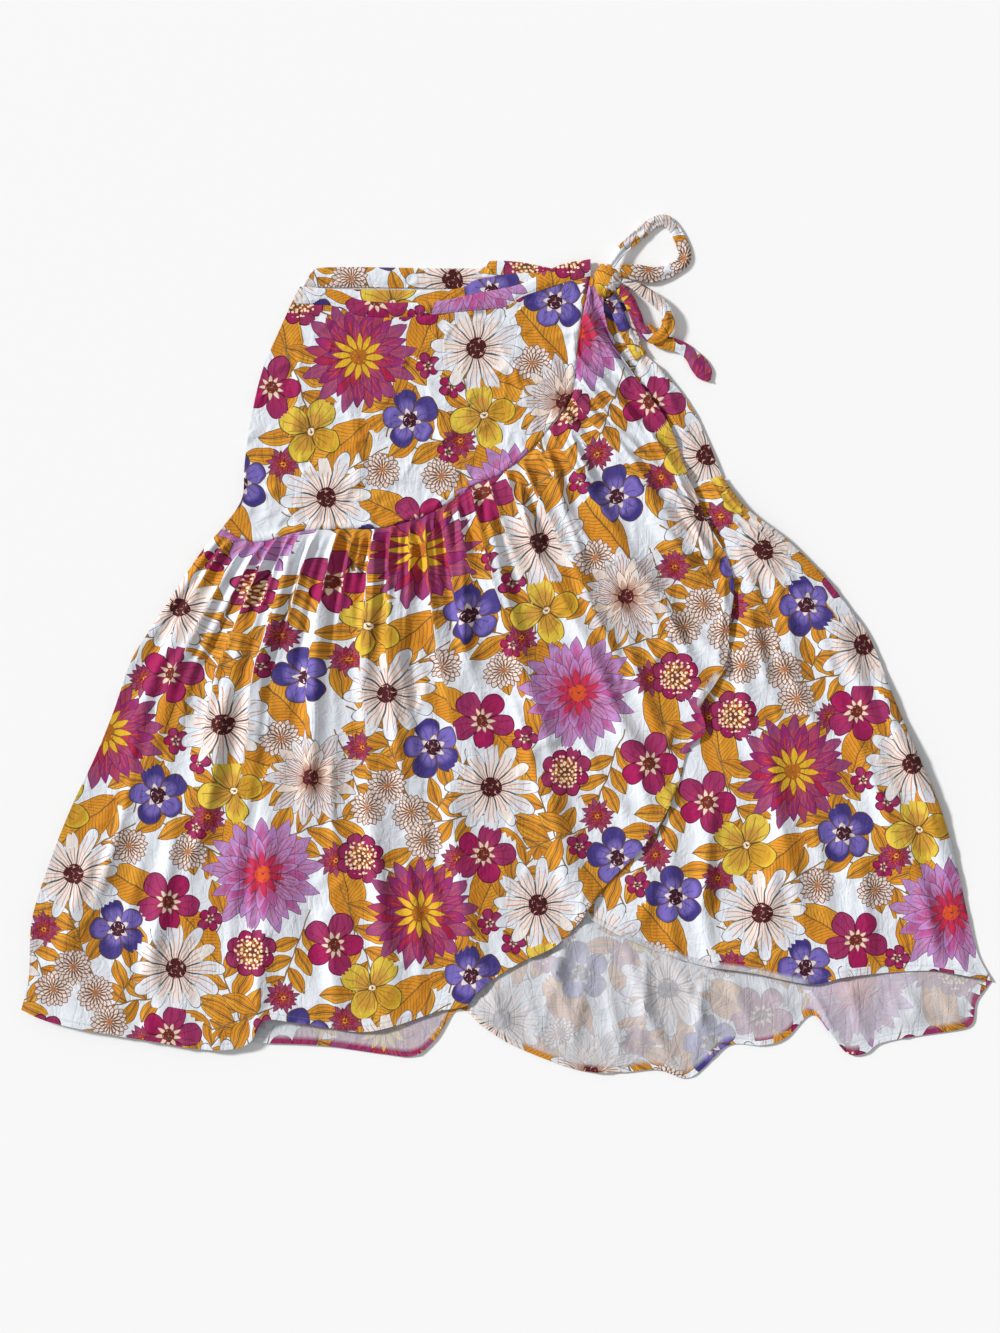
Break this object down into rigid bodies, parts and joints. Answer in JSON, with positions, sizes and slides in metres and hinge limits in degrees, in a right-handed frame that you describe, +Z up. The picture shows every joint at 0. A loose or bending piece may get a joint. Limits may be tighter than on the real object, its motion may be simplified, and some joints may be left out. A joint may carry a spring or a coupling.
{
  "type": "wrap skirt laid flat",
  "caption": "Tiered wrap skirt of printed viscose laid flat, front up: waistband, hip yoke, gathered high-low flounce with a crossed front, and ties in a side bow.",
  "frame": {"origin": "middle of the skirt's outline, on the surface that it lies on", "axes": "+X across the skirt towards its bow, +Y up towards its waist, +Z up from the surface through its layers"},
  "size_m": [1, 0.888, 0.0143],
  "materials": {
    "printed_cloth": "matte",
    "wrong_side_cloth": "matte",
    "tie_cloth": "matte"
  },
  "bodies": {
    "root": {"waistband_back": "printed_cloth", "waistband_under": "printed_cloth", "waistband_over": "printed_cloth", "yoke_back": "wrong_side_cloth", "yoke_under": "printed_cloth", "yoke_over": "printed_cloth", "flounce_back": "wrong_side_cloth", "flounce_under": "printed_cloth", "flounce_over": "printed_cloth", "tie_knot": "tie_cloth", "tie_loop_high": "tie_cloth", "tie_loop_low": "tie_cloth", "tie_tail_right": "tie_cloth", "tie_tail_down": "tie_cloth"}
  },
  "joints": []
}
